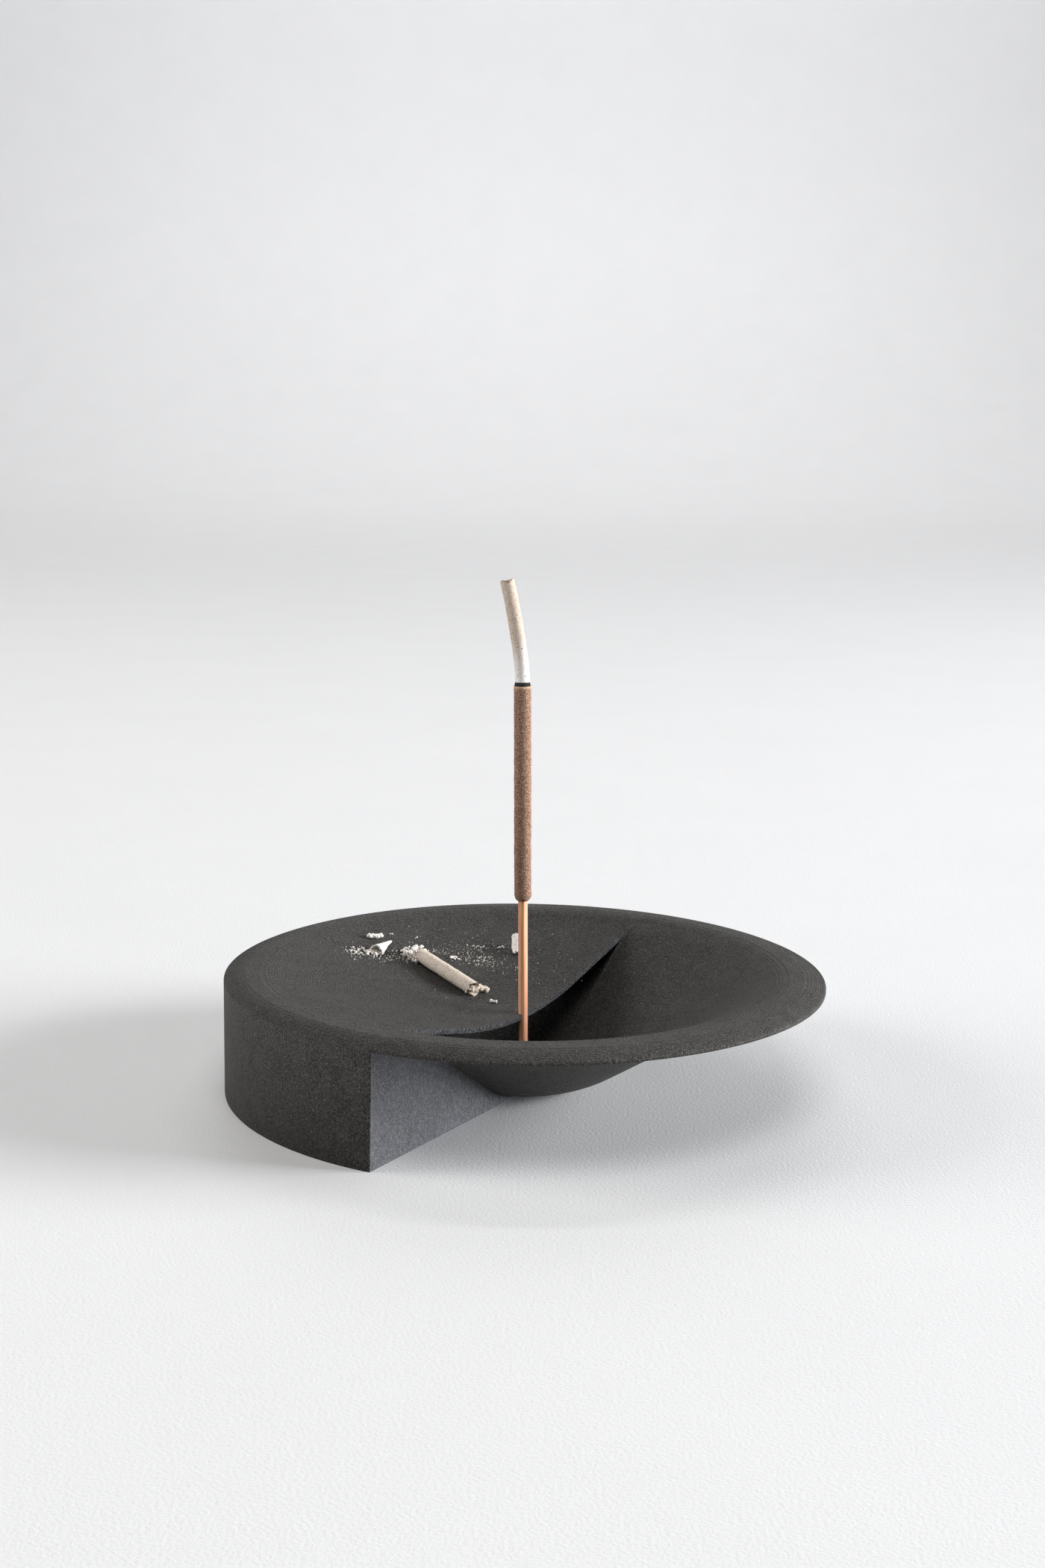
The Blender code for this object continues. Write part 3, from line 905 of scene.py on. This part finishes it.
def bamboo():
    """Split bamboo: upright fibres in pale and orange layers, with thin dark seams between them."""
    n = Nodes("bamboo_fibre")
    across = n.across(STICK_ACROSS, -CORE_RADIUS, CORE_RADIUS)
    pale, rose, seam = (0.95, 0.62, 0.42), (0.95, 0.52, 0.34), (0.6, 0.22, 0.1)
    orange, glow, cream = (0.98, 0.55, 0.27), (0.96, 0.45, 0.22), (0.86, 0.42, 0.29)
    layers = ((0.0, seam), (0.1, pale), (0.24, rose), (0.31, seam), (0.37, orange), (0.6, glow))
    colour = n.ramp(across, *layers, (0.76, cream), (0.95, cream))
    fibres = n.noise((0.12 * MM, 0.12 * MM, 26 * MM), 2, 0.5)
    colour = n.mix(n.ramp(fibres, (0.48, 0.0), (0.58, 0.75)), colour, (0.74, 0.28, 0.12))
    drift = n.noise((0.6 * MM, 0.6 * MM, 9 * MM), 2, 0.5)
    colour = n.mix(n.ramp(drift, (0.45, 0.0), (0.65, 0.3)), colour, (0.95, 0.6, 0.4))
    return n.finish(colour, n.bump(fibres, 0.05 * MM), 0.5, 0.35)


def paste():
    """Incense paste: brown powder with pale specks, scorched lighter just below the char."""
    n = Nodes("incense_paste")
    powder = n.noise(0.25 * MM, 3, 0.7)
    low, middle, high = (0.11, 0.052, 0.032), (0.24, 0.13, 0.084), (0.52, 0.35, 0.26)
    colour = n.ramp(powder, (0.34, low), (0.5, middle), (0.68, high))
    specks = n.ramp(n.noise(0.16 * MM, 1, 0.5), (0.66, 0.0), (0.72, 0.85))
    colour = n.mix(specks, colour, (0.7, 0.55, 0.43))
    scorch = n.ramp(n.across(UP, PASTE_TOP - 0.9 * MM, PASTE_TOP), (0.3, 0.0), (0.8, 0.7))
    colour = n.mix(scorch, colour, (0.6, 0.42, 0.26))
    return n.finish(colour, n.bump(powder, 0.12 * MM), 0.9, 0.25)


def char():
    """Burnt paste: nearly black and dull."""
    n = Nodes("charred_paste")
    powder = n.noise(0.2 * MM, 3, 0.6)
    colour = n.ramp(powder, (0.35, (0.008, 0.008, 0.009)), (0.75, (0.035, 0.034, 0.036)))
    return n.finish(colour, n.bump(powder, 0.08 * MM), 0.9, 0.3)


def ash(name, standing, pale, warm):
    """Incense ash: pale powder with grey-brown flecks. On the stick it is whitest next to the fire."""
    n = Nodes(name)
    powder = n.noise(0.3 * MM, 4, 0.65)
    colour = n.mix(n.ramp(powder, (0.36, 0.0), (0.62, 1.0)), pale, warm)
    if standing:
        colour = n.mix(n.across(UP, CHAR_TOP, CHAR_TOP + 8 * MM), (0.84, 0.82, 0.80), colour)
    flecks = n.ramp(n.noise(0.27 * MM, 1, 0.5), (0.61, 0.0), (0.66, 0.95))
    patches = n.ramp(n.noise(1.6 * MM, 2, 0.5), (0.42, 0.15), (0.58, 1.0))
    colour = n.mix(n.mix(1.0, flecks, patches, "MULTIPLY"), colour, (0.17, 0.135, 0.11))
    return n.finish(colour, n.bump(powder, 0.09 * MM), 0.95, 0.2)


def pale_floor():
    """A pale painted sheet with faint clouds and a fine grain."""
    n = Nodes("pale_floor")
    shade, light = (0.80, 0.80, 0.805), (0.815, 0.815, 0.82)
    colour = n.ramp(n.noise(60 * MM, 2, 0.5), (0.3, shade), (0.7, light))
    return n.finish(colour, n.bump(n.noise(0.55 * MM, 1, 0.5), 0.05 * MM), 0.55, 0.3)


# Camera, floor and light


# The camera's turns are in radians: to the right, downwards, and its right side raised.
CAMERA_PLACE = (0, -0.36292, 0.11724)
CAMERA_YAW = -0.0026
CAMERA_PITCH = 0.1671
CAMERA_ROLL = 0.0143
SENSOR_HEIGHT = 36
LENS = 46.55

FLOOR_FRONT = -1.8
FLOOR_HALF_WIDTH = 3.2
BEND_START = 2.6
BEND_RADIUS = 0.9
BEND_STEPS = 16
BACKDROP_TOP = 3.4


def add_camera():
    """The camera stands 363 mm in front of the axis and looks a little down."""
    yaw, pitch, roll = CAMERA_YAW, CAMERA_PITCH, CAMERA_ROLL
    level = Vector((math.cos(yaw), -math.sin(yaw), 0))
    ahead = Vector((math.sin(yaw) * math.cos(pitch), math.cos(yaw) * math.cos(pitch), -math.sin(pitch)))
    over = level.cross(ahead)
    right = level * math.cos(roll) + over * math.sin(roll)
    up = over * math.cos(roll) - level * math.sin(roll)
    data = bpy.data.cameras.new("camera")
    data.sensor_fit = "VERTICAL"
    data.sensor_height = SENSOR_HEIGHT
    data.lens = LENS
    data.clip_start = 0.01
    data.clip_end = 20
    camera = bpy.data.objects.new("camera", data)
    facing = Matrix((right, up, -ahead)).transposed().to_4x4()
    camera.matrix_world = Matrix.Translation(CAMERA_PLACE) @ facing
    bpy.context.scene.collection.objects.link(camera)
    bpy.context.scene.camera = camera


def add_floor():
    """A pale sheet that lies under the object and curves up far behind it."""
    line = [(FLOOR_FRONT, 0), (BEND_START, 0)]
    for i in range(1, BEND_STEPS + 1):
        turn = math.pi / 2 * i / BEND_STEPS
        away = BEND_START + BEND_RADIUS * math.sin(turn)
        line.append((away, BEND_RADIUS - BEND_RADIUS * math.cos(turn)))
    line.append((BEND_START + BEND_RADIUS, BACKDROP_TOP))
    bm = bmesh.new()
    sides = (-FLOOR_HALF_WIDTH, FLOOR_HALF_WIDTH)
    rows = [[bm.verts.new((x, y, z)) for y, z in line] for x in sides]
    for i in range(len(line) - 1):
        new_face(bm, [rows[0][i], rows[1][i], rows[1][i + 1], rows[0][i + 1]])
    new_piece("floor", bm, pale_floor())


def add_area_light(name, place, size, power, colour=(1, 1, 1), target=(0, 0, 0.02)):
    """A rectangular light that faces the target. It isn't seen itself."""
    data = bpy.data.lights.new(name, "AREA")
    data.shape = "RECTANGLE"
    data.size, data.size_y = size
    data.energy = power
    data.color = colour
    light = bpy.data.objects.new(name, data)
    light.visible_camera = False
    toward = Vector(target) - Vector(place)
    light.matrix_world = Matrix.Translation(place) @ toward.to_track_quat("-Z", "Y").to_matrix().to_4x4()
    bpy.context.scene.collection.objects.link(light)


def add_light():
    """A low window at the right, a panel at the left, and weak light from above and on the backdrop."""
    world = bpy.data.worlds.new("studio")
    bpy.context.scene.world = world
    world.use_nodes = True
    back = world.node_tree.nodes["Background"]
    back.inputs["Color"].default_value = (0.95, 0.96, 1.0, 1)
    back.inputs["Strength"].default_value = 0.05
    add_area_light("low_window", (1.87, 0.0, 0.42), (1.0, 0.84), 82, (0.96, 0.98, 1.0))
    add_area_light("left_panel", (-1.66, 0.05, 0.66), (0.97, 0.97), 20, (1.0, 0.99, 0.975))
    add_area_light("front_ceiling", (0.0, -0.76, 1.63), (0.97, 0.97), 9.5, (1.0, 0.985, 0.96))
    add_area_light("backdrop_wash", (0.0, 2.3, 2.9), (2.4, 0.4), 52, target=(0, 3.5, 0.9))


bpy.context.scene.view_settings.view_transform = "Standard"
add_camera()
add_floor()
add_light()

body_nylon = nylon("black_nylon", (0.018, 0.0172, 0.0162), (0.102, 0.097, 0.091), 0.5 * MM, 0.2 * MM)
# The dish's cut edge: lighter, bluish speckle on a darker ground than the body's nylon, painted highlight
# and painted shade.
edge_with_painted_light = nylon("black_nylon_cut_edge_painted_light", (0.005, 0.005, 0.005), (0.2, 0.197, 0.206), 0.45 * MM, 0.4 * MM)
# The block's flat faces: a lighter, bluish copy of the same nylon, painted reflection of the low window.
face_with_painted_reflection = nylon("black_nylon_flat_face_painted_reflection", (0.055, 0.055, 0.06), (0.165, 0.166, 0.181), 0.8 * MM, 0.2 * MM)
column_ash = ash("standing_ash", True, (0.66, 0.56, 0.475), (0.5, 0.4, 0.32))
loose_ash = ash("fallen_ash", False, (0.80, 0.71, 0.62), (0.66, 0.555, 0.455))
white_ash = ash("crumbled_ash", False, (0.9, 0.88, 0.85), (0.84, 0.77, 0.71))

CRUMB_COUNT = 10
crumb_nodes = [f"ash_crumb_{number:02d}" for number in range(1, CRUMB_COUNT + 1)]
log_nodes = ["fallen_ash_log", "ash_log_finger", "ash_log_lump"]
nylons = (body_nylon, edge_with_painted_light, face_with_painted_reflection)

# Each piece's name, maker, materials, the body it rides on, its finish, and the nodes it stands for
PIECES = (
    ("printed_body", print_body, nylons, "burner", "body", ["burner_body"]),
    ("splint", bamboo_rod, (bamboo(),), "stick", "bamboo", ["bamboo_core"]),
    ("paste_coat", paste_coat, (paste(),), "stick", "paste", ["incense_paste"]),
    ("char_collar", char_collar, (char(),), "stick", "char", ["char_ring"]),
    ("ash_column", standing_ash, (column_ash,), "stick", "ash", ["standing_ash"]),
    ("ash_log", fallen_log, (loose_ash, white_ash), "fallen_log", "ash", log_nodes),
    ("curled_skin", ash_curl, (white_ash,), "curl", "ash", ["ash_curl"]),
    ("shard", ash_shard, (white_ash,), "shard", "ash", ["ash_shard"]),
    ("chunk", ash_chunk, (white_ash,), "chunk", "ash", ["ash_chunk"]),
    ("flake", ash_flake, (white_ash,), "flake", "ash", ["ash_flake"]),
    ("rubble", rubble, (white_ash,), "crumbs", "ash", crumb_nodes),
    ("dust", dust, (white_ash,), "burner", "ash", []),
)
for name, build, materials, body, slot, nodes in PIECES:
    piece = new_piece(name, build(), *materials)
    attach(piece, body)
    if nodes:
        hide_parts(*nodes)
